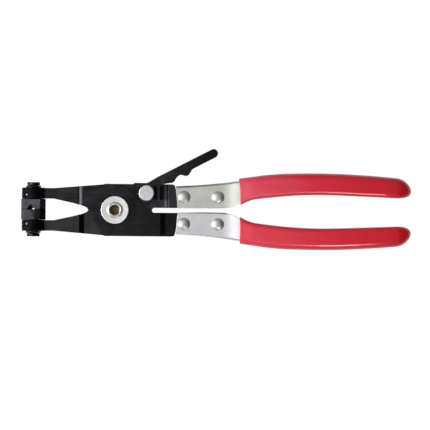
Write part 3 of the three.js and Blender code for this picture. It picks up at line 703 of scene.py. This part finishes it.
def jaw_plate(node, is_front, *materials):
    """A stamped plate with its boss. materials are for its faces; for the boss's dull finish and for painted
    shade on its cut edges, its bends' feet and their slopes turned from the light; and for a painted
    highlight on the bends' slopes that face the light.
    """
    half = PLATE_THICKNESS / 2
    bends = FRONT_BENDS if is_front else REAR_BENDS
    plate = prism("plate", plate_outline(is_front), -half, half)
    plate = combined(plate, cylinder("hole", PIVOT_HOLE, -THROUGH, THROUGH), "DIFFERENCE")
    if not is_front:
        place = Matrix.Translation((LEVER[0], -LEVER[1], 0))
        plate = combined(plate, cylinder("hole", LEVER_HOLE, -THROUGH, THROUGH, place), "DIFFERENCE")
    plate = bevelled(plate, PLATE_EDGE, 3)
    plate = joggle(plate, bends, PLATE_GAP / 2 + half)
    stand = jaw_stand(Matrix.Identity(4))
    rows = [(0, BOSS_INNER), (BOSS_RADIUS, BOSS_INNER), (BOSS_RADIUS, BOSS_OUTER), (0, BOSS_OUTER)]
    plate = combined(plate, lathe("boss", rows, stand, BOSS_EDGE), "UNION")
    bore = cylinder("bore", STEM_HOLE, BOSS_INNER - BORE_EXTRA, BOSS_OUTER + BORE_EXTRA, stand)
    plate = combined(plate, bore, "DIFFERENCE")
    hole = cylinder("pin_hole", PIN_HOLE, *PIN_HOLE_SPAN, pin_stand(Matrix.Identity(4), is_front), 32)
    plate = combined(plate, hole, "DIFFERENCE")
    scaled(plate, side_matrix(is_front))
    plate = dress(plate, node + "_stamped", node, materials[0], 35)
    for material in materials[1:]:
        plate.data.materials.append(material)
    arm, tail = bends
    arm_length = arm[1] - arm[0]
    # Index 1 gives the boss its dull finish and paints shade on cut edges, feet and slopes turned from the
    # light; index 2 paints a highlight on the slopes that face the light
    for face in plate.data.polygons:
        x, z = face.center.x / MM, face.center.z / MM - MIDDLE
        level, lean = abs(face.normal.z), face.normal.x
        in_bend = arm[0] < x < arm[1] or tail[1] < x < tail[0]
        on_boss = abs(x + JAW_REACH) < BOSS_RADIUS + BOSS_MARGIN
        on_boss = on_boss and math.hypot(x + JAW_REACH, z) > half + ARM_MARGIN
        in_foot = arm[0] < x < arm[0] + FOOT_SHARE * arm_length
        in_painted_highlight = x > 0 or x < arm[0] + PAINTED_HIGHLIGHT_SHARE * arm_length
        if on_boss or in_foot or level < EDGE_LEVEL or (in_bend and (level < SLOPE_LEVEL or lean > LEAN)):
            face.material_index = 1
        elif in_bend and in_painted_highlight and lean < -LEAN:
            face.material_index = 2
    return plate


# jaws

JAW_TURN = 12.6
JAW_EDGE = 0.32
GROOVE_DEPTH = 2.6
GROOVE_MOUTH = 2.3
GROOVE_FLOOR = 0.3

# Turned pieces of the jaws, as rows of radius and height
WASHER_SEAT = BOSS_OUTER + 0.05
STEM_ROWS = (
    (0, JAW_BACK - 1), (2.45, JAW_BACK - 1), (2.45, 13.65), (3.6, 13.65), (3.6, 15.35), (0.9, 15.35),
    (0.55, 15.0), (0, 14.95),
)
STEM_WASHER_ROWS = (
    (STEM_HOLE, WASHER_SEAT), (4.3, WASHER_SEAT), (4.3, WASHER_SEAT + 0.5), (3.9, WASHER_SEAT + 1.25),
    (STEM_HOLE, WASHER_SEAT + 1.25),
)
PIN_ROWS = ((0, 2.75), (1.1, 2.75), (1.1, 5.9), (0.8, 6.3), (0, 6.4))


def swivel_jaw(is_upper, material):
    """A grooved block on its stem. The lower one is turned on by a quarter, so its groove looks sideways."""
    word = side_word(is_upper)
    turn = math.radians(-JAW_TURN if is_upper else JAW_TURN + 90)
    half, groove = JAW_SIDE / 2, JAW_FACE + GROOVE_DEPTH
    profile = [(-half, JAW_FACE), (-GROOVE_MOUTH, JAW_FACE), (-GROOVE_FLOOR, groove), (GROOVE_FLOOR, groove)]
    profile += [(GROOVE_MOUTH, JAW_FACE), (half, JAW_FACE), (half, JAW_BACK), (-half, JAW_BACK)]
    block = bevelled(prism("block", profile, -half, half), JAW_EDGE, 4)
    stem = lathe("stem", STEM_ROWS, Matrix.Rotation(-math.pi / 2, 4, "X"), radius=0.35, sides=56)
    jaw = joined(block, stem)
    place = side_matrix(is_upper) @ Matrix.Translation((-JAW_REACH, 0, 0))
    scaled(jaw, place @ Matrix.Rotation(turn, 4, "Y"))
    return dress(jaw, word + "_swivel_block", word + "_swivel_jaw", material, 35)


def jaw_trim(is_upper, washer_metal, pin_metal):
    """The washer under a stem's clinched end, and the retaining pin in its boss."""
    word = side_word(is_upper)
    side = side_matrix(is_upper)
    washer = lathe("washer", STEM_WASHER_ROWS, jaw_stand(side), radius=0.2, sides=64, ring=True)
    dress(washer, word + "_stem_washer", word + "_jaw_washer", washer_metal)
    pin = lathe("pin", PIN_ROWS, pin_stand(side, is_upper), radius=0.3, sides=40)
    dress(pin, word + "_pressed_pin", word + "_retaining_pin", pin_metal)


# handles and grips

FOLD_ROUND = 1.75
LIP_ROUND = 0.3
SLANT_RINGS = 8
GRIP_POWERS = (3.3, 5.2)
TIP_POWERS = (2.2, 2.4)
INSIDE_POWERS = (9, 9)
TIP_STEPS = 14
TIP_LAST = 0.985
TIP_THIN_REACH = 2.3 * GRIP_ROUND
TIP_THINNING = 0.26
TIP_THIN_POWER = 2.4
MOUTH_THINNING = 0.75
MOUTH_THIN_REACH = 8
MOUTH_RINGS = 14
INSIDE_START = 1.5
INSIDE_SHRINK = 0.5
INSIDE_FULL = 80
UPPER_MOUTH = (1.3, 1.0)
LOWER_MOUTH = (0.0, 0.2)
DOME_TOP = 5.0
DOME_RADIUS = 3.55
DOME_RIM = 0.25
DOME_SEAT = 0.03
SHANK_RADIUS = 2.0

# The channel's rounded end, as rows of distance behind HANDLE_START, trim
END_ROWS = ((0, 0.12), (0.04, 0.04))

# Where the channel and the grip's outside have rings, as rows of first place along X, last place, steps
CHANNEL_SPANS = ((HANDLE_START + 0.25, 58, 14), (59, 76, 17), (80, HANDLE_END, 26))
GRIP_SPANS = ((LENGTH_AFTER_PIVOT - GRIP_ROUND, 84, 34), (82, GRIP_START + 0.9, 12))

# The grip's rolled mouth, as rows of distance behind GRIP_START, inset of the skin
MOUTH_ROWS = ((0.5, 0.02), (0.22, 0.1), (0.06, 0.25), (0.0, 0.45), (0.05, 0.68), (0.3, 0.86))


def flare(x):
    return smoothstep(x, *FLARE)


def channel_section(x, trim=0.0):
    """The folded channel in Y and Z at x, as one closed loop. trim shrinks it for a rounded end."""
    outer, inner = handle_edges(x)
    half = CHEEK_OUTER + (GRIP_CHEEK_OUTER - CHEEK_OUTER) * flare(x) - trim
    thin = SHEET - 2 * trim
    folded, lipped = outer - trim - FOLD_ROUND, inner + trim + LIP_ROUND
    cheek, inside = half - FOLD_ROUND, half - thin + LIP_ROUND
    loop = []

    def corner(y, z, radius, start, end, steps):
        for step in range(steps + 1):
            angle = math.radians(start + (end - start) * step / steps)
            loop.append((x, y + radius * math.cos(angle), z + radius * math.sin(angle)))

    corner(lipped, LIP_ROUND - half, LIP_ROUND, 180, 270, 3)
    corner(folded, -cheek, FOLD_ROUND, -90, 0, 6)
    corner(folded, cheek, FOLD_ROUND, 0, 90, 6)
    corner(lipped, half - LIP_ROUND, LIP_ROUND, 90, 180, 3)
    corner(lipped, inside, LIP_ROUND, 180, 270, 3)
    corner(folded, cheek, FOLD_ROUND - thin, 90, 0, 5)
    corner(folded, -cheek, FOLD_ROUND - thin, 0, -90, 5)
    corner(lipped, -inside, LIP_ROUND, 90, 180, 3)
    return loop


def slanted(ring, amount, lead=0.0):
    """A ring moved back along X by lead, with its inner edge moved on by amount."""
    heights = [point[1] for point in ring]
    low, high = min(heights), max(heights)
    return [(x - lead + amount * (high - y) / (high - low), y, z) for x, y, z in ring]


def handle(is_upper, material):
    """A folded channel, whose end leans. Its rings are closest where the cheeks flare."""
    word = side_word(is_upper)
    rings = [channel_section(HANDLE_START + behind, trim) for behind, trim in END_ROWS]
    rings += [channel_section(x) for span in CHANNEL_SPANS for x in spaced(*span)]
    rings = [slanted(ring, HANDLE_SLANT * max(0, 1 - i / SLANT_RINGS)) for i, ring in enumerate(rings)]
    body = loft("channel", rings, side_matrix(is_upper))
    return dress(body, word + "_folded_channel", word + "_handle", material, 40)


def grip_section(x, shrink, size, power, inner_power, points=64):
    """A crowned, rounded section of the grip or of its inside, which is squarer towards the other grip."""
    outer, inner = handle_edges(x)
    past = x - LENGTH_AFTER_PIVOT
    bow = max(past + GRIP_ROUND, 0) / GRIP_ROUND
    middle = (outer + inner) / 2 - GRIP_TIP_SHIFT * bow * bow
    half_y = (outer - inner) / 2 + GRIP_STANDOFF - shrink
    opening = 1 - smoothstep(x, GRIP_START, GRIP_START + MOUTH_THIN_REACH)
    tip = max(past + TIP_THIN_REACH, 0) / TIP_THIN_REACH
    half_z = GRIP_HALF_DEPTH - shrink - MOUTH_THINNING * opening
    half_z *= 1 - TIP_THINNING * tip ** TIP_THIN_POWER
    ring = []
    for index in range(points):
        angle = 2 * math.pi * (index + 0.5) / points
        c, s = math.cos(angle), math.sin(angle)
        here = power if c > 0 else inner_power
        reach = (abs(c) ** here + abs(s) ** here) ** (-1 / here)
        ring.append((x, middle + half_y * size * c * reach, half_z * size * s * reach))
    return ring


def grip(is_upper, material):
    """A dipped grip: from its rounded tip along the outside to the rolled mouth, and back inside it."""
    word = side_word(is_upper)
    slant, lead = UPPER_MOUTH if is_upper else LOWER_MOUTH
    round_start = LENGTH_AFTER_PIVOT - GRIP_ROUND
    rings = []
    for step in range(TIP_STEPS, 0, -1):
        t = math.sin(math.pi / 2 * min(step / TIP_STEPS, TIP_LAST))
        powers = [full + (tip - full) * t for full, tip in zip(GRIP_POWERS, TIP_POWERS)]
        rings.append(grip_section(round_start + GRIP_ROUND * t, 0, math.sqrt(1 - t * t), *powers))
    rings += [grip_section(x, 0, 1, *GRIP_POWERS) for span in GRIP_SPANS for x in spaced(*span)]
    for behind, inset in MOUTH_ROWS:
        powers = [power + 3 * inset for power in GRIP_POWERS]
        rings.append(grip_section(GRIP_START + behind, inset, 1, *powers))
    mouth = len(rings)
    for x in spaced(GRIP_START + INSIDE_START, HANDLE_END + SEAT_GAP, 30):
        shrink = INSIDE_SHRINK * (1 + smoothstep(x, GRIP_START, INSIDE_FULL))
        rings.append(grip_section(x, shrink, 1, *INSIDE_POWERS))
    for index, ring in enumerate(rings):
        near = max(0, 1 - abs(index - mouth) / MOUTH_RINGS)
        rings[index] = slanted(ring, slant * near, lead * near)
    body = loft("dip", rings, side_matrix(is_upper))
    return dress(body, word + "_dipped_grip", word + "_grip", material, 50)


def dome_rivet(is_upper, which, reach, material):
    """A rivet through both cheeks of a handle, with the same dome on either side."""
    word = side_word(is_upper)
    base = CHEEK_OUTER + DOME_SEAT
    rise = DOME_TOP - base - DOME_RIM
    turns = [math.radians(turn) for turn in spaced(0, 90, 8)]
    cap = [(DOME_RADIUS * math.sin(turn), base + DOME_RIM + rise * math.cos(turn)) for turn in turns]
    shank = [(DOME_RADIUS, -base), (SHANK_RADIUS, -base), (SHANK_RADIUS, base), (DOME_RADIUS, base)]
    rows = [(r, -h) for r, h in cap] + shank + cap[::-1]
    place = side_matrix(is_upper) @ Matrix.Translation((reach, RIVET_OFFSET, 0))
    rivet = lathe("rivet", rows, place, radius=0.12, sides=64)
    return dress(rivet, f"{word}_{which}_dome_rivet", f"{word}_handle_{which}_rivet", material, 40)


# pivot, whose turned pieces are rows of radius and height over the middle plane

PIVOT_WASHER_ROWS = ((4.0, 3.2), (7.8, 3.2), (7.85, 4.45), (7.6, 4.6), (6.0, 4.52), (4.0, 4.45))
PIVOT_RIVET_ROWS = (
    (0, -5.25), (6.7, -5.25), (7.0, -4.95), (7.0, -3.45), (3.7, -3.45), (3.7, 4.5), (4.6, 4.55), (4.4, 5.2),
    (3.7, 5.6), (3.15, 5.55), (2.65, 5.0), (2.45, 4.1), (2.45, -0.7), (1.2, -0.95), (0, -1.0),
)
BORE_LIMIT = 2.55
BORE_LOW = -3


def pivot(rivet_metal, washer_metal, bore_shade_metal):
    """The clinched rivet, whose open bore has its own darker, brownish metal as painted shade in the deep
    hole, over its dished washer.
    """
    place = Matrix.Translation((0, 0, MIDDLE))
    washer = lathe("washer", PIVOT_WASHER_ROWS, place, radius=0.22, sides=96, ring=True)
    dress(washer, "pivot_dished_washer", "pivot_washer", washer_metal, 40)
    rivet = lathe("rivet", PIVOT_RIVET_ROWS, place, radius=0.25, sides=96)
    rivet = dress(rivet, "pivot_clinched_rivet", "pivot_rivet", rivet_metal, 40)
    rivet.data.materials.append(bore_shade_metal)
    # The bore's faces take the painted shade
    for face in rivet.data.polygons:
        if face.center.xy.length < BORE_LIMIT * MM and (MIDDLE + BORE_LOW) * MM < face.center.z:
            face.material_index = 1


# lever, whose turned pieces are rows of radius and height over the middle plane

LEVER_RIVET_ROWS = (
    (0, -6.05), (3.7, -6.05), (4.0, -5.75), (4.0, -5.05), (2.0, -5.05), (2.0, 4.2), (4.35, 3.95), (4.35, 5.2),
    (4.05, 5.5), (0, 5.5),
)
BUSH_ROWS = ((2.3, 0.15), (2.8, 0.15), (2.8, 2.3), (2.3, 2.3))
LEVER_TOP = 9
LEVER_EDGE = 0.2

# The recesses in the lever's root: their spans along X, their shared span along Y, and their floor
RECESSES = ((22.0, 24.0), (25.4, 30))
RECESS_SPAN = (5.9, 13.9)
RECESS_FLOOR = 3.2
RECESS_EDGE = 0.25

# The lowest and highest centre of the faces in and between the recesses, which get a painted shadow, from
# the pivot and the middle plane
PAINTED_SHADOW_LOW = (21.9, 5.8, 3)
PAINTED_SHADOW_HIGH = (28.5, 14, 3.85)

# The spring's wire, its coil, the directions of its fixed and moving ends, its hook and its leg
WIRE_RADIUS = 0.3
COIL_RADIUS = 3.4
COIL_LOW = 0.45
COIL_PITCH = 1.05
COIL_SWEEP = 489
FIXED_ANGLE = 219
MOVING_ANGLE = 90
HOOK_REACH = 6.1
HOOK_BEND = 0.7
LEG_REACH = 7.6


def lever(material, dull, button_metal, bush_metal, wire_metal):
    """The folded lever with its two shallow recesses, painted with the shadow of the button and of the
    lever's cheek, its rivet, the bush inside it and the spring.
    """
    body = softened("lock_lever", LEVER_EDGE)
    low, high = RECESS_SPAN
    for left, right in RECESSES:
        corners = [(left, low), (right, low), (right, high), (left, high)]
        recess = prism("recess", corners, MIDDLE + RECESS_FLOOR, MIDDLE + LEVER_TOP)
        body = combined(body, bevelled(recess, RECESS_EDGE, 2), "DIFFERENCE")
    body = dress(body, "folded_lever", "lock_lever", material, 30)
    body.data.materials.append(dull)
    # Faces in and between the recesses take the dull material as a painted shadow
    for face in body.data.polygons:
        centre = face.center / MM - Vector((0, 0, MIDDLE))
        if all(start < value < end for start, value, end in zip(PAINTED_SHADOW_LOW, centre, PAINTED_SHADOW_HIGH)):
            face.material_index = 1
    place = Matrix.Translation((LEVER[0], LEVER[1], MIDDLE))
    rivet = lathe("rivet", LEVER_RIVET_ROWS, place, radius=0.22, sides=80)
    dress(rivet, "lever_button", "lever_rivet", button_metal, 40)
    bush = lathe("bush", BUSH_ROWS, place, radius=0.1, sides=48, ring=True)
    dress(bush, "lever_spacer", "lever_bush", bush_metal, 40)
    wire = dress(spring(place), "lever_wire_spring", "lever_spring", wire_metal, 60)
    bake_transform(wire)


def heading(angle):
    """The direction in which the coil's wire runs on at an angle."""
    return math.sin(math.radians(angle)), -math.cos(math.radians(angle))


def spring(place):
    """The lever spring's wire: a hook in the rear plate, a turn and a third, and a leg under the lever."""
    head, start = heading(FIXED_ANGLE), polar(COIL_RADIUS, FIXED_ANGLE)
    hook = [start[i] - head[i] * HOOK_REACH for i in (0, 1)]
    path = [(hook[0], hook[1], COIL_LOW - HOOK_BEND * steps) for steps in (3, 2)]
    for turn in spaced(0, 90, 8):
        back = HOOK_BEND * (1 - math.cos(math.radians(turn)))
        drop = HOOK_BEND * (1 - math.sin(math.radians(turn)))
        path.append((hook[0] + head[0] * back, hook[1] + head[1] * back, COIL_LOW - drop))
    for share in spaced(0, 1, 96):
        x, y = polar(COIL_RADIUS, FIXED_ANGLE - COIL_SWEEP * share)
        path.append((x, y, COIL_LOW + COIL_PITCH * share * COIL_SWEEP / 360))
    x, y, z = path[-1]
    head = heading(MOVING_ANGLE)
    path.append((x + head[0] * LEG_REACH, y + head[1] * LEG_REACH, z))
    path = [Vector(point) for point in path]
    rings, side = [], Vector((1, 0, 0))
    for index, point in enumerate(path):
        along = (path[min(index + 1, len(path) - 1)] - path[max(index - 1, 0)]).normalized()
        side = (side - along * side.dot(along)).normalized()
        up = along.cross(side)
        rings.append([tuple(point + side * x + up * y) for x, y in circle(WIRE_RADIUS, 14)])
    return loft("wire", rings, place)


# materials of the part

# The front plate and the lever fade from their paler colour to a darker one to the right: painted light,
# strongest at the plate's jaw end and at the lever's root
plate_front = black_steel(
    "plate_black_front", linear(1, 1, 2), linear(49, 47, 54), 0.34, 0.16, right=linear(24, 24, 27)
)
plate_rear = black_steel("plate_black_rear", linear(4, 4, 6), linear(54, 53, 60), 0.36, 0.28)
lever_black = black_steel(
    "lever_black", linear(1, 1, 1), linear(63, 62, 65), 0.36, 0.1, right=linear(34, 34, 35),
    reach=(0.024, 0.05),
)
# Dull finish on the bosses, and painted shade on cut edges, bend feet, slopes turned from the light and the
# lever's recesses; then painted highlights on the plates' bend slopes that face the light
dull_black_and_painted_shade = black_steel("dull_black_and_painted_shade", linear(1, 1, 2), linear(12, 12, 15), 0.5, 0.05)
painted_highlight_black = black_steel("painted_highlight_black", linear(46, 46, 49), linear(74, 74, 77), 0.33, 0.27)
painted_highlight_tail = black_steel("painted_highlight_tail", linear(62, 62, 64), linear(104, 104, 107), 0.45, 0.03)
# The jaws' paler colour is a painted highlight
jaw_black = jaw_steel("jaw_black", linear(9, 9, 11), linear(51, 50, 54), 0.4)
trim_black = black_steel("trim_black", linear(2, 2, 2), linear(14, 14, 14), 0.34, 0.25, (500, 500, 500))
bore_painted_shade = turned_steel("bore_painted_shade", linear(134, 118, 98), linear(62, 52, 40), 0.4, (0, 0, 0))
pin_metal = turned_steel(
    "pin_steel", linear(84, 84, 90), linear(50, 50, 56), 0.38, (-JAW_REACH, 0, MIDDLE), "Y"
)
upper_zinc = plated_steel("upper_zinc", linear(236, 235, 230), linear(222, 221, 215), 0.19)
lower_zinc = plated_steel("lower_zinc", linear(249, 249, 252), linear(236, 236, 241), 0.19)
rivet_zinc = plated_steel("rivet_zinc", linear(217, 216, 214), linear(196, 195, 193), 0.4)
washer_bright = turned_steel("washer_bright", linear(250, 250, 250), linear(236, 236, 237), 0.36, (0, 0, 0))
rivet_bright = turned_steel("rivet_bright", linear(216, 212, 206), linear(174, 168, 158), 0.42, (0, 0, 0))
button_grey = turned_steel(
    "button_grey", linear(238, 238, 240), linear(192, 192, 194), 0.4, (*LEVER, 0), rings=900.0
)
bush_zinc = plated_steel("bush_zinc", linear(200, 200, 202), linear(170, 170, 172), 0.35)
wire_steel = plated_steel("wire_steel", linear(62, 62, 64), linear(40, 40, 42), 0.35)
# The grips' first, paler colour is a painted reflection by the mouth
upper_vinyl = red_vinyl("upper_vinyl_dip", linear(220, 75, 94), linear(212, 27, 50), linear(199, 27, 43))
lower_vinyl = red_vinyl("lower_vinyl_dip", linear(218, 55, 71), linear(214, 34, 57), linear(205, 24, 42))

jaw_plate("front_jaw_plate", True, plate_front, dull_black_and_painted_shade, painted_highlight_black)
jaw_plate("rear_jaw_plate", False, plate_rear, dull_black_and_painted_shade, painted_highlight_tail)
pivot(rivet_bright, washer_bright, bore_painted_shade)
lever(lever_black, dull_black_and_painted_shade, button_grey, bush_zinc, wire_steel)
for is_upper in (True, False):
    swivel_jaw(is_upper, jaw_black)
    jaw_trim(is_upper, trim_black, pin_metal)
    handle(is_upper, upper_zinc if is_upper else lower_zinc)
    grip(is_upper, upper_vinyl if is_upper else lower_vinyl)
    for which, reach in zip(("near", "far"), RIVET_REACHES):
        dome_rivet(is_upper, which, reach, rivet_zinc)


# floor, light and camera, in millimetres

# The floor lies just under the tool's lowest point
FLOOR = -1.57
FLOOR_SIZE = (12000, 12000)
FLOOR_GREY = (0.4, 0.4, 0.4, 1)
FLOOR_GLOW = 1.1
FLOOR_SHARE = 0.9
BLACK = (0, 0, 0, 1)
WHITE = (1, 1, 1, 1)
FILL = 0.15
LENS = 300
SENSOR = 36
FAR_CLIP = 20000
PICTURE_WIDTH = 244.0
PICTURE_CENTRE = (56.75, -2.35)
PICTURE_TURN = 0.52


def rectangle(name, size, matrix, material):
    x, y = size[0] / 2, size[1] / 2
    corners = [(-x, -y, 0), (x, -y, 0), (x, y, 0), (-x, y, 0)]
    sheet = object_from(name, corners, [(0, 1, 2, 3)], matrix)
    sheet.data.materials.append(material)
    return sheet


def floor():
    """A plain floor, nearly white to the camera and to reflections, and darker to all other light."""
    s = Shading("floor_white")
    plain = s.add("ShaderNodeBsdfDiffuse", {"Color": FLOOR_GREY})
    glow = s.add("ShaderNodeEmission", {"Color": WHITE, "Strength": FLOOR_GLOW})
    material = s.shown(s.mixed(s.math("MULTIPLY", s.seen(), FLOOR_SHARE), plain, glow))
    ground = rectangle("floor", FLOOR_SIZE, Matrix.Translation((0, 0, FLOOR)), material)


def softbox(name, place, target, size, power, in_reflections=True):
    """An area light of a size across and along, aimed at a target."""
    light = bpy.data.lights.new(name, "AREA")
    light.shape = "RECTANGLE"
    light.size, light.size_y = (side * MM for side in size)
    light.energy = power
    obj = bpy.data.objects.new(name, light)
    bpy.context.scene.collection.objects.link(obj)
    obj.location = Vector(place) * MM
    obj.rotation_euler = (Vector(target) - Vector(place)).to_track_quat("-Z", "Y").to_euler()
    obj.visible_camera = False
    obj.visible_glossy = in_reflections


def card(name, place, target, size, *levels):
    """A studio card that only reflections see. levels are rows of place along its own X and brightness there,
    the first of which holds before the second's place."""
    s = Shading(name)
    level = levels[0][1]
    grey = s.band(s.noise(2.0, 2.0, 0.5), 0.3, 0.7, level * 0.97, level * 1.03)
    shade = s.mix(grey, BLACK, WHITE)
    for (before, _), (here, level) in zip(levels, levels[1:]):
        change = s.band(s.coordinate("X"), before * MM, here * MM)
        shade = s.mix(change, shade, (level, level, level, 1))
    material = s.shown(s.add("ShaderNodeEmission", {"Color": shade, "Strength": 1.0}))
    turn = (Vector(target) - Vector(place)).to_track_quat("-Z", "Y").to_matrix().to_4x4()
    sheet = rectangle(name, size, Matrix.Translation(place) @ turn, material)
    sheet.visible_camera = sheet.visible_diffuse = sheet.visible_shadow = sheet.visible_transmission = False


def world():
    """White to the camera and to reflections, and a weak even fill to all other light."""
    s = Shading("studio", bpy.data.worlds, "ShaderNodeOutputWorld")
    fill = s.add("ShaderNodeBackground", {"Color": WHITE, "Strength": FILL})
    white = s.add("ShaderNodeBackground", {"Color": WHITE, "Strength": 1.0})
    bpy.context.scene.world = s.shown(s.mixed(s.seen(), fill, white))


def camera():
    """Straight above, with the tool half a degree clockwise in the picture."""
    lens = bpy.data.cameras.new("camera")
    lens.lens = LENS
    lens.sensor_width = SENSOR
    lens.clip_end = FAR_CLIP * MM
    obj = bpy.data.objects.new("camera", lens)
    bpy.context.scene.collection.objects.link(obj)
    height = MIDDLE + PICTURE_WIDTH * LENS / SENSOR
    obj.location = Vector((*PICTURE_CENTRE, height)) * MM
    obj.rotation_euler = (0, 0, math.radians(PICTURE_TURN))
    bpy.context.scene.camera = obj


floor()
world()
softbox("left_softbox", place=(-600, 0, 400), target=(0, 0, 0), size=(300, 700), power=5.6)
softbox("front_strip", place=(152, -400, 440), target=(152, 0, 0), size=(64, 150), power=0.5)
softbox("top_light", (60, -60, 1600), (60, 0, 0), (1400, 1400), power=9.0, in_reflections=False)
card(
    "top_card", (-20, 0, 900), (-20, 0, 0), (1200, 900),
    (-520, 1.12), (-150, 0.64), (120, 0.64), (165, 0.15),
)
card("right_card", (620, 0, 500), (60, 0, 500), (1400, 1000), (0, 0.06))
card("back_card", (60, 560, 500), (60, 0, 500), (1400, 1200), (0, 0.3))
card("front_card", (60, -560, 500), (60, 0, 500), (1400, 1200), (0, 0.4))
camera()
bpy.context.scene.view_settings.view_transform = "Standard"
